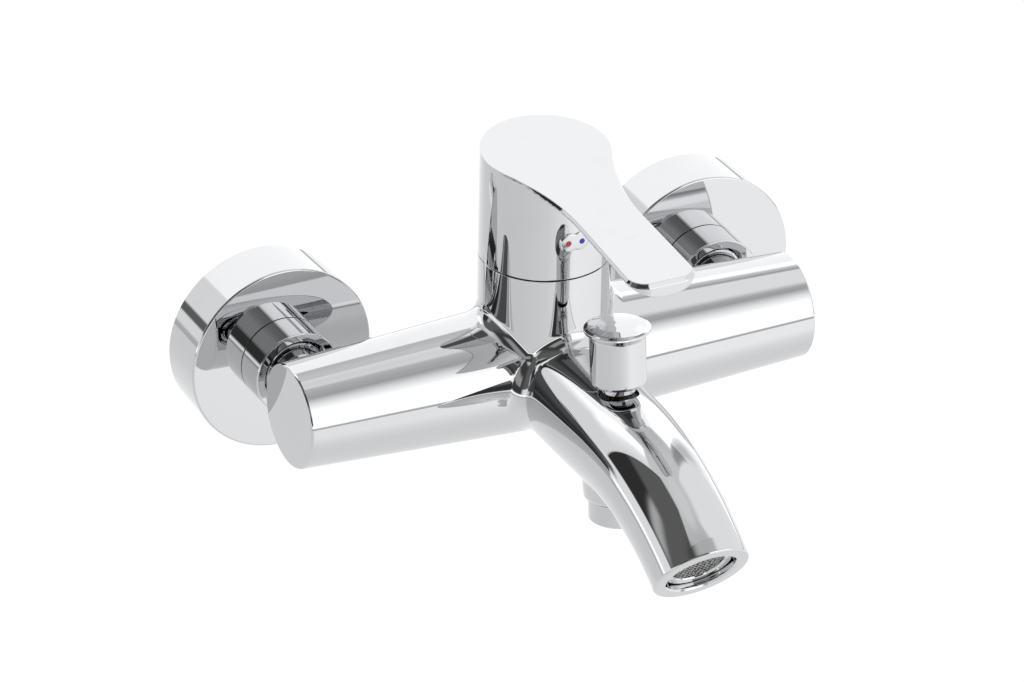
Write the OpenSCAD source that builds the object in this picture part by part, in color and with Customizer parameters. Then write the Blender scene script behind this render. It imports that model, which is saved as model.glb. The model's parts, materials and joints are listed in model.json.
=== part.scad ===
// Wall mounted bath mixer: two inlets, one lever, a spout with a pull diverter
// and a hose outlet under it.  Units are millimetres.
// Origin: on the wall face, midway between the inlets, at the height of the
// body's axis.  +X is to the right, +Y goes into the wall, +Z is up.

/* [Overall] */
// distance between the two inlet axes
inlet_spacing = 150; // [130:1:170]
// distance from the wall to the body's axis
projection = 55.4; // [50:0.2:80]
// length of the horizontal body
body_length = 179; // [165:1:230]
// length of the spout's straight run, from the body's axis
spout_straight = 57; // [52:1:110]
// radius of the bend on the spout's centre line
spout_bend = 92.5; // [70:0.5:140]
// how far the spout's mouth dips below level, in degrees
spout_dip = 37.3; // [20:0.1:80]

/* [Body casting] */
// radius of the body in the middle
body_r = 21.3; // [20.8:0.1:26]
// radius of the body at its two ends
body_end_r = 16.9; // [14:0.1:20]
// radius of the upright barrel that holds the cartridge
barrel_r = 21.3; // [21:0.1:24]
// height of the barrel's rim over the body's axis
barrel_top = 39.5; // [39.5:0.5:50]
// outer radius of the spout, in its bend and at its mouth
spout_r = 16.5; // [16:0.1:20]
// outer radius of the spout where it leaves the body's axis
spout_root_r = 17.6; // [16:0.1:20.5]
// wall of the spout
spout_wall = 4.8; // [3:0.1:5]
// how far the spout's axis lies below the body's axis
spout_below = 1.4; // [0:0.1:3]

/* [Wall fittings] */
// radius of a wall flange
flange_r = 31.4; // [28:0.1:40]
// depth of a wall flange
flange_depth = 19.6; // [14:0.1:24]
// outer radius of a union nut
nut_r = 14.4; // [14.2:0.1:18]
// length of a union nut
nut_len = 11.6; // [10:0.1:14]
// outer radius of the tail between nut and body
tail_r = 9.2; // [8:0.1:10]
// how far the wall thread sits below the body's inlet
union_offset = 6; // [0:0.5:8]
// length of the thread that goes into the wall
wall_thread_len = 18; // [14:1:26]

/* [Lever] */
// length of the lever from the barrel's axis to its tip
lever_len = 85; // [70:1:120]
// width of the lever at its waist
lever_w = 20.6; // [16:0.1:24]
// height of the cap over the barrel's rim, on the axis
cap_h = 36.6; // [32:0.2:46]
// slope of the lever down to its tip, in degrees
lever_slope = 3.8; // [0:0.1:6]
// thickness of the lever along its middle
lever_t = 5.5; // [4:0.1:8]
// thickness of the lever's two edges
lever_edge_t = 2.5; // [1.5:0.1:3.5]
// how far the lever lifts, in degrees
lift_angle = 20; // [10:1:20]

/* [Diverter] */
// distance from the body's axis to the diverter's axis
diverter_at = 55; // [50:0.5:90]
// how far the diverter's top leans to the wall, in degrees
diverter_lean = 4.6; // [0:0.1:6]
// radius of the knob's rim
knob_r = 10.8; // [8:0.1:12]
// height of the knob
knob_h = 20.8; // [14:0.2:26]
// how far the knob pulls up
diverter_travel = 7.5; // [5:0.1:8]
// length of the hose thread under the spout
hose_thread_len = 8.4; // [7:0.1:14]

/* [Hidden] */
$fn = 96;
eps = 0.01;
axis_y = -projection;
in_x = inlet_spacing / 2;
// parallel pipe threads are drawn as plain cylinders
g12_r = 10.48;         // G 1/2, outer radius
g34_pitch_r = 12.64;   // G 3/4, pitch radius
thread_gap = 0.04;     // male thread below the female one
fit_gap = 0.05;        // running clearance on a radius
free_gap = 0.3;        // gap between pieces that pass each other

// wall fittings, along y from the wall outward
union_front = -(flange_depth + nut_len - 6);
washer_t = 2;
tail_flange_t = 2;
lip_back = union_front - washer_t - tail_flange_t;
nut_back = -flange_depth - 0.2;
nut_front = nut_back - nut_len;
waterway_r = 6.5;
hub_t = 4.2;
tail_end = axis_y + 8;

// body cores
core_r = body_end_r - 7.4;
core_gap = 6.5;
end_wall = 5.5;
seat_z = barrel_top - 30.5;
chamber_r = 17.35;
nut_thread_r = barrel_r - 2.95;
rim_z = barrel_top;

// cartridge heights, from its floor to the barrel's rim
base_t = 5;
disc_t = 4;
fixed_z = seat_z + base_t;
moving_z = fixed_z + disc_t + fit_gap;
carrier_z = moving_z + disc_t;
ball_z = carrier_z + 3.6;
rotor_z = carrier_z + 5.6;
rotor_flange_t = 3.3;
shoulder_z = rotor_z + rotor_flange_t + fit_gap;
shoulder_t = 2.4;
nut_z = shoulder_z + shoulder_t;
nut_t = rim_z - 3.2 - nut_z;
cover_z = nut_z + nut_t;
neck_top = rim_z + 4.2;
pivot_z = rim_z + 12.5;
cart_r = chamber_r - 0.15;
cavity_r = 14.2;
neck_r = 12;
rotor_neck_r = 9;
ear_x = 4.3;
ear_top = pivot_z + 4.5;
arm_leg = pivot_z - ball_z;
leg_angle = lift_angle / 2;
ball_off = arm_leg * tan(leg_angle);
leg_len = arm_leg / cos(leg_angle);
ball_r = 2.5;
disc_r = 9.3;
rail_x = disc_r - 0.9;

// handle
cap_wall = 2.5;
skirt_z = rim_z + free_gap;
skirt_bevel = 0.5;
cavity_top = pivot_z + 8;
relief_from = 9.6;
relief_angle = 30;
top_z = rim_z + cap_h;
cap_r = barrel_r;
cap_top_r = barrel_r - 0.2;
stem_half = 4;
stem_top = top_z - 7.5;
screw_z = rim_z + 13.5;
screw_r = 2.5;
plug_lobe_r = 3.45;
plug_lobe_x = 1.8;
plug_back = 18.9;
plug_front = barrel_r + 0.55;
dot_x = 2.35;
dot_r = 0.95;

// lever's plan: a waist blended into the cap by one large arc on each side
waist_at = 45;
waist_half = lever_w / 2;
blend_r = (pow(waist_at, 2) + pow(waist_half, 2) - pow(cap_r, 2)) / (2 * (cap_r - waist_half));
tip_half = waist_half + 0.5;
tip_corner_r = 5.5;
belly_drop = lever_t - lever_edge_t;
belly_r = (pow(waist_half, 2) + pow(belly_drop, 2)) / (2 * belly_drop);
root_at = 0.43 * cap_r;

// spout
spout_z = -spout_below;
bend_y = axis_y - spout_straight;
bend_z = spout_z - spout_bend;
mouth_y = bend_y - spout_bend * sin(spout_dip);
mouth_z = bend_z + spout_bend * cos(spout_dip);
spout_bore_r = spout_r - spout_wall;
mouth_bore_r = spout_bore_r - 0.2;
aerator_deep = 1.6;
aerator_len = 9;

// diverter, heights on its own axis
div_y = axis_y - diverter_at;
spout_top = spout_z + spout_r + 0.4;
floor_z = spout_z - spout_bore_r;
web_z = spout_z + 1.9;
web_t = 2.5;
orifice_r = 5.6;
seat_top = floor_z + 0.7;
soft_t = 1.8;
piston_r = 7;
piston_z = seat_top + soft_t;
piston_t = web_z - seat_top - 2 * soft_t - diverter_travel - 0.2;
stem_r = 2.5;
bonnet_r = 6.4;
bonnet_top = spout_top - 2;
bonnet_bottom = spout_top - 9.6;
knob_bottom = spout_top + 2.8;
knob_top = knob_bottom + knob_h;
knob_body_r = knob_r - 1.7;
knob_foot_r = knob_r - 5.1;
boss_r = 13.3;
boss_end_r = 11.9;
boss_bottom = spout_z - spout_r - 1.8;
nipple_r = 9.6;
nipple_bore_r = 7.5;
hose_bottom = boss_bottom - hose_thread_len;
valve_z = hose_bottom + 1.6;
valve_top = hose_bottom + 11.4;
poppet_z = valve_top - 3.6;
poppet_travel = 2.4;

metal = "#d5d9dd";
dark_metal = "#9aa0a6";
brass = "#c9a85a";
rubber = "#2b2d30";
plastic = "#e8e6df";
black_plastic = "#26282b";
ceramic = "#c4743f";
steel = "#b9bec3";

// which piece to draw

// a rod along y from y0 to y1
module rod_y(r, y0, y1) {
    translate([0, max(y0, y1), 0]) rotate([90, 0, 0]) cylinder(r = r, h = abs(y1 - y0));
}

// a cone along y: radius ra at ya, rb at yb, with yb further from the wall
module cone_y(ra, ya, rb, yb) {
    translate([0, ya, 0]) rotate([90, 0, 0]) cylinder(r1 = ra, r2 = rb, h = ya - yb);
}

module ring(r, hole, h) {
    difference() {
        cylinder(r = r, h = h);
        translate([0, 0, -1]) cylinder(r = hole, h = h + 2);
    }
}

module torus(r, section) {
    rotate_extrude() translate([r, 0]) circle(r = section);
}

// a coil of round wire on the z axis, from z = 0 to z = h
module coil(r, wire, turns, h) {
    steps = turns * 20;
    run = h - 2 * wire;
    function at(i) = [r * cos(i * 18), r * sin(i * 18), wire + run * i / steps];
    ring_of = 8;
    pts = [for (i = [0 : steps]) let (c = at(i)) for (k = [0 : ring_of - 1])
        c + wire * [cos(k * 45) * cos(i * 18), cos(k * 45) * sin(i * 18), sin(k * 45)]];
    sides = [for (i = [0 : steps - 1]) for (k = [0 : ring_of - 1]) let (n = (k + 1) % ring_of)
        [i * ring_of + k, i * ring_of + n, (i + 1) * ring_of + n, (i + 1) * ring_of + k]];
    first = [for (k = [0 : ring_of - 1]) ring_of - 1 - k];
    last = [for (k = [0 : ring_of - 1]) steps * ring_of + k];
    polyhedron(pts, concat([first], sides, [last]), convexity = 10);
}

// the spout's centre line, swept with one radius
module spout_sweep(r, from_y, angle = spout_dip) {
    translate([0, 0, spout_z]) rod_y(r, from_y, bend_y);
    translate([0, bend_y, bend_z]) rotate([0, -90, 180])
        rotate_extrude(angle = angle) translate([spout_bend, 0]) circle(r = r);
}

// children stand on the mouth's plane, +Z pointing out of the spout
module at_mouth() {
    translate([0, mouth_y, mouth_z]) rotate([90 + spout_dip, 0, 0]) children();
}

module on_axis(z = 0) {
    translate([0, axis_y, z]) children();
}

module on_diverter(z = 0) {
    translate([0, div_y, spout_z]) rotate([-diverter_lean, 0, 0]) translate([0, 0, z - spout_z]) children();
}

module both_ways() {
    children();
    mirror([1, 0, 0]) children();
}

// ---------------------------------------------------------------- casting

module diverter_web() {
    intersection() {
        translate([0, 0, spout_z]) rod_y(spout_bore_r + 0.4, div_y + 15, div_y - 15);
        difference() {
            on_diverter() union() {
                translate([-20, 9.9, web_z]) cube([40, 2.5, 40]);
                translate([-20, -12.4, web_z]) cube([40, 24, web_t]);
                translate([-20, -12.4, web_z + web_t - 40]) cube([40, 2.5, 40]);
            }
            on_diverter(-20) cylinder(r = orifice_r, h = 40);
        }
    }
}

module valve_body() {
    color(metal) {
        difference() {
            union() {
                on_axis() both_ways() rotate([0, 90, 0])
                    cylinder(r1 = body_r, r2 = body_end_r, h = body_length / 2);
                on_axis() cylinder(r = barrel_r, h = rim_z);
                spout_sweep(spout_r, bend_y + 1);
                translate([0, 0, spout_z]) cone_y(spout_root_r, axis_y, spout_r, bend_y);
                on_diverter(boss_bottom) cylinder(r1 = boss_end_r, r2 = boss_r, h = spout_z - boss_bottom);
            }
            // water cores in the two arms, and the ports up to the cartridge
            on_axis() both_ways() {
                translate([core_gap, 0, 0]) rotate([0, 90, 0])
                    cylinder(r = core_r, h = body_length / 2 - end_wall - core_gap);
                translate([9.6, 3.5, 0]) cylinder(r = 3, h = seat_z + 1);
            }
            both_ways() translate([in_x, 0, 0]) rod_y(tail_r, axis_y, axis_y + body_r + 2);
            // mixed water: down in front of the cores, then out along the spout
            on_axis(-4) translate([0, -11.5, 0]) cylinder(r = 3.4, h = seat_z + 5);
            translate([0, 0, spout_z]) rod_y(4, axis_y - 10.5, axis_y - 20);
            spout_sweep(spout_bore_r, axis_y - 18, spout_dip - 6);
            at_mouth() translate([0, 0, -14]) cylinder(r = mouth_bore_r, h = 15);
            at_mouth() translate([0, 0, -0.6]) cylinder(r1 = mouth_bore_r, r2 = mouth_bore_r + 0.8, h = 0.61);
            // cartridge chamber, its thread and the bevelled rim
            on_axis(seat_z) cylinder(r = chamber_r, h = 60);
            on_axis(shoulder_z) cylinder(r = nut_thread_r, h = 60);
            on_axis(rim_z - 2.8) cylinder(r1 = barrel_r - 2.1, r2 = barrel_r - 0.25, h = 2.81);
            // diverter openings
            on_diverter(spout_z) cylinder(r = bonnet_r, h = 40);
            on_diverter(boss_bottom - 1) cylinder(r = nipple_r, h = seat_top - boss_bottom + 1);
            on_diverter(seat_top - 1) cylinder(r = piston_r + 0.7, h = web_z - seat_top + 1);
        }
        diverter_web();
    }
}

// ---------------------------------------------------------------- handle

module lever_plan() {
    side = blend_r + waist_half;
    difference() {
        translate([-cap_r, -(lever_len - tip_corner_r)]) square([2 * cap_r, lever_len - tip_corner_r]);
        both_ways() {
            translate([side, -waist_at]) circle(r = blend_r, $fn = 240);
            polygon([[waist_half, -waist_at], [tip_half, -(lever_len - tip_corner_r + 1)],
                [cap_r + 1, -(lever_len - tip_corner_r + 1)], [cap_r + 1, -waist_at]]);
        }
    }
    both_ways() translate([tip_half - tip_corner_r - 0.05, -(lever_len - tip_corner_r)])
        circle(r = tip_corner_r);
    translate([-(tip_half - tip_corner_r), -lever_len])
        square([2 * (tip_half - tip_corner_r), tip_corner_r + 1]);
}

module handle() {
    color(metal) on_axis() difference() {
        union() {
            // cap, cut by the sloping top
            difference() {
                translate([0, 0, skirt_z + skirt_bevel])
                    cylinder(r1 = cap_r, r2 = cap_top_r, h = cap_h - free_gap - skirt_bevel + 1.6);
                translate([0, 0, top_z]) rotate([lever_slope, 0, 0])
                    translate([-50, -100, 0]) cube([100, 200, 30]);
            }
            translate([0, 0, skirt_z]) cylinder(r1 = cap_r - skirt_bevel, r2 = cap_r, h = skirt_bevel);
            // lever: its plan, with a rounded belly below and webs that widen its root to the cap
            translate([0, 0, top_z]) rotate([lever_slope, 0, 0]) intersection() {
                translate([0, 0, -lever_t - 1]) linear_extrude(height = lever_t + 1) lever_plan();
                union() {
                    translate([0, 0, belly_r - lever_t]) rotate([90, 0, 0])
                        cylinder(r = belly_r, h = lever_len + 5, $fn = 200);
                    rotate([90, 0, 90]) linear_extrude(height = 60, center = true)
                        polygon([[-root_at, 1.5 - lever_t], [14 - waist_at, -0.9], [14 - waist_at, 1], [-root_at, 1]]);
                }
            }
        }
        // hollow skirt, less a boss for the set screw
        difference() {
            translate([0, 0, skirt_z - 1]) cylinder(r = cap_r - cap_wall, h = cavity_top - skirt_z + 1);
            translate([-stem_half, -cap_r, screw_z - 4]) cube([2 * stem_half, cap_r - stem_half - 0.1, 40]);
        }
        // the back of the skirt rises so that it clears the rim when lifted
        translate([0, relief_from, skirt_z]) rotate([relief_angle, 0, 0])
            translate([-50, 0, -30]) cube([100, 60, 30]);
        translate([-stem_half - fit_gap, -stem_half - fit_gap, cavity_top - 1])
            cube([2 * (stem_half + fit_gap), 2 * (stem_half + fit_gap), stem_top - cavity_top + 1.2]);
        translate([0, 0, screw_z]) rod_y(screw_r, -cap_r, 0);
        translate([0, 0, screw_z]) plug_shape(0.02, plug_back, cap_r + 2);
    }
}

// the plug's outline is two round lobes side by side
module plug_shape(grow, from, to) {
    both_ways() translate([plug_lobe_x, 0, 0]) rod_y(plug_lobe_r + grow, -from, -to);
    translate([-plug_lobe_x, -to, -plug_lobe_r - grow])
        cube([2 * plug_lobe_x, to - from, 2 * (plug_lobe_r + grow)]);
}

module index_plug() {
    color(metal) on_axis(screw_z) difference() {
        plug_shape(0, plug_back, plug_front);
        both_ways() translate([dot_x, 0, 0]) rod_y(dot_r, 0.5 - plug_front, -plug_front - 1);
    }
}

module dot(side) {
    on_axis(screw_z) translate([side * dot_x, 0, 0]) rod_y(dot_r, 0.5 - plug_front, -plug_front);
}

module red_dot() {
    color("#a5252b") dot(-1);
}

module blue_dot() {
    color("#2b2f8f") dot(1);
}

module set_screw() {
    color(steel) on_axis(screw_z) difference() {
        rod_y(screw_r - 0.02, -stem_half, -17);
        translate([0, -14, 0]) rotate([90, 0, 0]) cylinder(r = 1.45, h = 4, $fn = 6);
    }
}

// ---------------------------------------------------------------- cartridge

module spindle() {
    color(steel) on_axis() difference() {
        union() {
            translate([-stem_half, -stem_half, pivot_z - 5])
                cube([2 * stem_half, 2 * stem_half, stem_top - pivot_z + 5]);
            translate([0, 0, pivot_z]) rotate([leg_angle, 0, 0]) {
                translate([-3, -2.5, 3.2 - leg_len]) cube([6, 5, leg_len - 3.2]);
                translate([0, 0, -leg_len]) cylinder(r = 1.8, h = 5);
                translate([0, 0, -leg_len]) sphere(r = ball_r);
            }
        }
        translate([-20, 0, pivot_z]) rotate([0, 90, 0]) cylinder(r = 1.5 + fit_gap, h = 40);
    }
}

module pivot_pin() {
    color(steel) on_axis(pivot_z) translate([-8.3, 0, 0]) rotate([0, 90, 0]) cylinder(r = 1.5, h = 16.6);
}

module turning_sleeve() {
    color(plastic) on_axis() difference() {
        union() {
            translate([0, 0, rotor_z]) cylinder(r = cavity_r - 0.2, h = rotor_flange_t);
            translate([0, 0, rotor_z]) cylinder(r = rotor_neck_r, h = ear_top - rotor_z);
            // rails that carry the disc carrier round
            both_ways() intersection() {
                translate([0, 0, carrier_z + 0.4]) cylinder(r = cavity_r - 0.2, h = 6);
                translate([rail_x + 0.1, -8, carrier_z + 0.4]) cube([6, 16, 6]);
            }
        }
        translate([-3.4, -7.3, rotor_z - 1]) cube([6.8, 14.6, 60]);
        translate([-ear_x, -20, pivot_z - 6.7]) cube([2 * ear_x, 40, 40]);
        translate([-20, 0, pivot_z]) rotate([0, 90, 0]) cylinder(r = 1.5, h = 40);
    }
}

module disc_carrier() {
    color(plastic) on_axis() translate([0, ball_off, 0]) difference() {
        intersection() {
            translate([0, 0, carrier_z]) cylinder(r = disc_r + 0.1, h = 5.4);
            translate([-rail_x, -20, carrier_z]) cube([2 * rail_x, 40, 5.4]);
        }
        translate([0, 0, carrier_z + 0.5]) cylinder(r = ball_r + 0.12, h = 6);
    }
}

module moving_disc() {
    color(ceramic) on_axis(moving_z) translate([0, ball_off, 0]) difference() {
        cylinder(r = disc_r, h = disc_t);
        translate([0, -1, -1]) cylinder(r = 7.2, h = 2.6);
    }
}

module ports(z, h, r) {
    both_ways() translate([9.6, 3.5, z]) cylinder(r = r, h = h);
    translate([0, -11.5, z]) cylinder(r = r + 0.4, h = h);
}

// the same three passages where the discs meet
module disc_ports(z, h) {
    both_ways() translate([5.8, 1.9, z]) cylinder(r = 2.6, h = h);
    translate([0, -7.4, z]) cylinder(r = 3, h = h);
}

module fixed_disc() {
    color(ceramic) on_axis(fixed_z) difference() {
        cylinder(r = cavity_r - 0.1, h = disc_t);
        disc_ports(-1, 8);
    }
}

module cartridge_base() {
    color(plastic) on_axis() difference() {
        translate([0, 0, seat_z]) cylinder(r = cart_r, h = base_t);
        ports(seat_z - 1, 3.6, 3);
        disc_ports(seat_z + 2.3, 8);
        ports(seat_z - 1, 2.5, 4.6);
    }
}

module port_seals() {
    color(rubber) on_axis(seat_z + 0.75) {
        both_ways() translate([9.6, 3.5, 0]) torus(3.8, 0.75);
        translate([0, -11.5, 0]) torus(4.2, 0.75);
    }
}

module cartridge_housing() {
    color(plastic) on_axis() difference() {
        union() {
            translate([0, 0, fixed_z]) cylinder(r = cart_r, h = nut_z - fixed_z);
            translate([0, 0, nut_z - 1]) cylinder(r = neck_r, h = neck_top - nut_z + 1);
        }
        translate([0, 0, fixed_z - 1]) cylinder(r = cavity_r, h = shoulder_z - fixed_z + 1);
        translate([0, 0, fixed_z]) cylinder(r = rotor_neck_r + fit_gap, h = 60);
    }
}

module cartridge_nut() {
    color(brass) on_axis(nut_z) difference() {
        cylinder(r = nut_thread_r - thread_gap, h = nut_t);
        translate([0, 0, -1]) cylinder(r = neck_r + free_gap, h = nut_t + 2);
        for (a = [0 : 60 : 300]) rotate([0, 0, a])
            translate([15, -1.5, nut_t - 1.6]) cube([6, 3, 4]);
    }
}

module trim_cover() {
    color(metal) on_axis(cover_z) {
        ring(16.4, neck_r + 0.1, 0.5);
        ring(neck_r + 0.9, neck_r + 0.1, neck_top - cover_z + 0.8);
        translate([0, 0, neck_top - cover_z + 0.1]) ring(neck_r + 0.9, rotor_neck_r + 0.6, 0.7);
    }
}

// ---------------------------------------------------------------- wall side

module side(s) {
    translate([s * in_x, 0, 0]) children();
}

module wall_flange(s) {
    color(metal) side(s) difference() {
        union() {
            difference() {
                cone_y(flange_r - 0.7, 0, flange_r, -flange_depth);
                cone_y(flange_r - 2.3, 1, flange_r - 1.6, 1.8 - flange_depth);
            }
            rod_y(g34_pitch_r + 2.2, -flange_depth + hub_t, -flange_depth + 1);
        }
        rod_y(g34_pitch_r, 1, -flange_depth - 1);
    }
}

module wall_flange_left() { wall_flange(-1); }
module wall_flange_right() { wall_flange(1); }

module eccentric_union(s) {
    color(brass) side(s) difference() {
        union() {
            translate([0, 0, -union_offset]) rod_y(g12_r, wall_thread_len, -5);
            rod_y(g34_pitch_r - thread_gap, -10, union_front);
            // wrench flats between the two threads
            translate([0, -4, -union_offset / 2]) rotate([90, 30, 0]) cylinder(r = 18, h = 7, $fn = 6);
        }
        translate([0, 0, -union_offset]) rod_y(waterway_r, wall_thread_len + 1, -9);
        rod_y(waterway_r, -6, union_front - 1);
    }
}

module eccentric_union_left() { eccentric_union(-1); }
module eccentric_union_right() { eccentric_union(1); }

module union_nut(s) {
    color(metal) side(s) difference() {
        rod_y(nut_r, nut_back, nut_front);
        rod_y(g34_pitch_r, nut_back + 1, lip_back);
        rod_y(10.3, nut_back, nut_front - 1);
        cone_y(10.3, nut_front + 1.3, 11.61, nut_front - 0.01);
    }
}

module union_nut_left() { union_nut(-1); }
module union_nut_right() { union_nut(1); }

module inlet_tail(s) {
    color(metal) side(s) difference() {
        union() {
            rod_y(tail_r - thread_gap, lip_back + 1, tail_end);
            rod_y(g34_pitch_r - 0.3, union_front - washer_t, lip_back);
        }
        rod_y(waterway_r, 0, tail_end - 1);
    }
}

module inlet_tail_left() { inlet_tail(-1); }
module inlet_tail_right() { inlet_tail(1); }

module union_washer(s) {
    color(rubber) side(s) difference() {
        rod_y(g34_pitch_r - 0.3, union_front, union_front - washer_t);
        rod_y(7.2, 0, union_front - washer_t - 1);
    }
}

module union_washer_left() { union_washer(-1); }
module union_washer_right() { union_washer(1); }

module inlet_screen(s) {
    color(steel) side(s) translate([0, union_front - 0.7, 0]) rotate([90, 0, 0]) difference() {
        cylinder(r = 7.2, h = 0.5);
        for (i = [-3 : 3]) for (j = [-3 : 3]) if (i * i + j * j < 12)
            translate([i * 1.7 - 0.6, j * 1.7 - 0.6, -1]) cube([1.2, 1.2, 3]);
    }
}

module inlet_screen_left() { inlet_screen(-1); }
module inlet_screen_right() { inlet_screen(1); }

// ---------------------------------------------------------------- diverter

module diverter_knob() {
    color(metal) on_diverter() difference() {
        union() {
            translate([0, 0, knob_bottom - 3]) cylinder(r = knob_foot_r, h = 3.5);
            translate([0, 0, knob_bottom]) cylinder(r = knob_body_r - 0.4, h = 1);
            translate([0, 0, knob_bottom + 1]) cylinder(r1 = knob_body_r - 0.4, r2 = knob_body_r, h = knob_h - 5.5);
            translate([0, 0, knob_top - 4.5]) cylinder(r1 = knob_body_r, r2 = knob_r, h = 2.4);
            translate([0, 0, knob_top - 2.1]) cylinder(r = knob_r, h = 0.9);
            translate([0, 0, knob_top - 1.2]) cylinder(r1 = knob_r, r2 = knob_r - 3.4, h = 1.2);
        }
        translate([0, 0, knob_bottom - 4]) cylinder(r = stem_r - 0.3, h = 10);
    }
}

module diverter_stem() {
    color(brass) on_diverter() {
        translate([0, 0, piston_z]) cylinder(r = piston_r, h = piston_t);
        translate([0, 0, piston_z - soft_t]) cylinder(r = stem_r + 0.7, h = soft_t + 1);
        translate([0, 0, piston_z]) cylinder(r = stem_r, h = knob_bottom - 3 - piston_z);
        translate([0, 0, knob_bottom - 3.5]) cylinder(r = stem_r - 0.32, h = 9);
    }
}

module shower_seat_washer() {
    color(rubber) on_diverter(piston_z - soft_t) ring(piston_r, stem_r + 0.7, soft_t);
}

module spout_seat_washer() {
    color(rubber) on_diverter(piston_z + piston_t) ring(piston_r, 4.4, soft_t);
}

module diverter_spring() {
    color(steel) on_diverter(piston_z + piston_t) coil(3.5, 0.38, 6, bonnet_bottom - piston_z - piston_t);
}

module diverter_bonnet() {
    color(brass) on_diverter() difference() {
        translate([0, 0, bonnet_bottom]) cylinder(r = bonnet_r - thread_gap, h = bonnet_top - bonnet_bottom);
        translate([0, 0, bonnet_bottom - 1]) cylinder(r = stem_r + fit_gap, h = 20);
        translate([0, 0, bonnet_top - 3]) cylinder(r = stem_r + 1.55, h = 1.6);
    }
}

module bonnet_seal() {
    color(rubber) on_diverter(bonnet_top - 2.2) torus(stem_r + 0.8, 0.74);
}

module hose_nipple() {
    color(metal) on_diverter() difference() {
        union() {
            translate([0, 0, boss_bottom]) cylinder(r = nipple_r - thread_gap, h = seat_top - boss_bottom);
            translate([0, 0, hose_bottom]) cylinder(r = g12_r, h = boss_bottom - hose_bottom - 0.9);
            translate([0, 0, boss_bottom - 1]) cylinder(r = nipple_r - 1.2, h = 1);
        }
        translate([0, 0, hose_bottom - 1]) cylinder(r = nipple_bore_r, h = valve_top - hose_bottom + 1);
        translate([0, 0, hose_bottom]) cylinder(r = 4.6, h = 60);
    }
}

module nipple_seal() {
    color(rubber) on_diverter(boss_bottom - 0.9) ring(nipple_r + 0.4, nipple_r - 1.2, 0.9);
}

module check_cage() {
    color(black_plastic) on_diverter() difference() {
        translate([0, 0, valve_z]) cylinder(r = nipple_bore_r, h = valve_top - valve_z);
        translate([0, 0, valve_z + 1.8]) cylinder(r = 6.2, h = valve_top - 2.1 - valve_z - 1.8);
        translate([0, 0, valve_z]) cylinder(r = 1.3, h = 5);
        translate([0, 0, valve_top - 3]) cylinder(r = 4, h = 4);
        // windows between the spokes
        for (a = [0 : 60 : 300]) rotate([0, 0, a]) translate([4.3, 0, valve_z - 1]) cylinder(r = 1.5, h = 3.5);
    }
}

module check_poppet() {
    color(plastic) on_diverter() {
        translate([0, 0, poppet_z]) cylinder(r = 5.2, h = valve_top - 2.15 - poppet_z);
        translate([0, 0, valve_z + 0.7]) cylinder(r = 1.25, h = poppet_z - valve_z);
    }
}

module check_spring() {
    color(steel) on_diverter(valve_z + 1.8) coil(2.2, 0.22, 4, poppet_z - valve_z - 1.8);
}

// ---------------------------------------------------------------- aerator

module aerator_shell() {
    color(black_plastic) at_mouth() translate([0, 0, -aerator_deep - aerator_len]) difference() {
        cylinder(r = mouth_bore_r - thread_gap, h = aerator_len);
        translate([0, 0, -1]) cylinder(r = mouth_bore_r - 1.6, h = aerator_len - 1);
        cylinder(r = mouth_bore_r - 2.6, h = aerator_len + 1);
    }
}

module aerator_washer() {
    color(rubber) at_mouth() translate([0, 0, -aerator_deep - aerator_len - 1.6])
        ring(mouth_bore_r - 0.2, mouth_bore_r - 3, 1.6);
}

module aerator_insert() {
    color(plastic) at_mouth() translate([0, 0, -aerator_deep - aerator_len]) difference() {
        cylinder(r = mouth_bore_r - 1.65, h = 4);
        for (k = [1 : 2]) for (a = [0 : 60 / k : 359]) rotate([0, 0, a])
            translate([k * 3.6, 0, -1]) cylinder(r = 1, h = 6);
    }
}

module aerator_mesh() {
    bar = 0.5;
    reach = mouth_bore_r - 1.65;
    color(steel) at_mouth() translate([0, 0, -aerator_deep - 2.6]) {
        ring(reach, reach - 0.9, 0.6);
        intersection() {
            cylinder(r = reach - 0.5, h = 0.6);
            union() {
                for (i = [-6 : 6]) translate([i * 1.5 - bar / 2, -reach, 0]) cube([bar, 2 * reach, 0.4]);
                for (i = [-6 : 6]) translate([-reach, i * 1.5 - bar / 2, 0.2]) cube([2 * reach, bar, 0.4]);
            }
        }
    }
}

valve_body();
handle();
index_plug();
red_dot();
blue_dot();
set_screw();
spindle();
pivot_pin();
turning_sleeve();
disc_carrier();
moving_disc();
fixed_disc();
cartridge_base();
port_seals();
cartridge_housing();
cartridge_nut();
trim_cover();
wall_flange_left();
wall_flange_right();
eccentric_union_left();
eccentric_union_right();
union_nut_left();
union_nut_right();
inlet_tail_left();
inlet_tail_right();
union_washer_left();
union_washer_right();
inlet_screen_left();
inlet_screen_right();
diverter_knob();
diverter_stem();
diverter_bonnet();
bonnet_seal();
diverter_spring();
shower_seat_washer();
spout_seat_washer();
hose_nipple();
nipple_seal();
check_cage();
check_poppet();
check_spring();
aerator_shell();
aerator_washer();
aerator_insert();
aerator_mesh();
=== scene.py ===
# %% [markdown]
# # A wall mounted bath mixer in polished chrome
#
# Chrome has almost no colour of its own: what we see on it is the room. So this lesson spends its
# effort on two things: surfaces whose normals are exact, because a mirror shows every flaw, and a
# studio worth reflecting. We work in millimetres and turn to metres when a mesh is made.

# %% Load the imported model
import bpy
import bmesh
import json
import math
import numpy as np
from mathutils import Matrix, Vector


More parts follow.
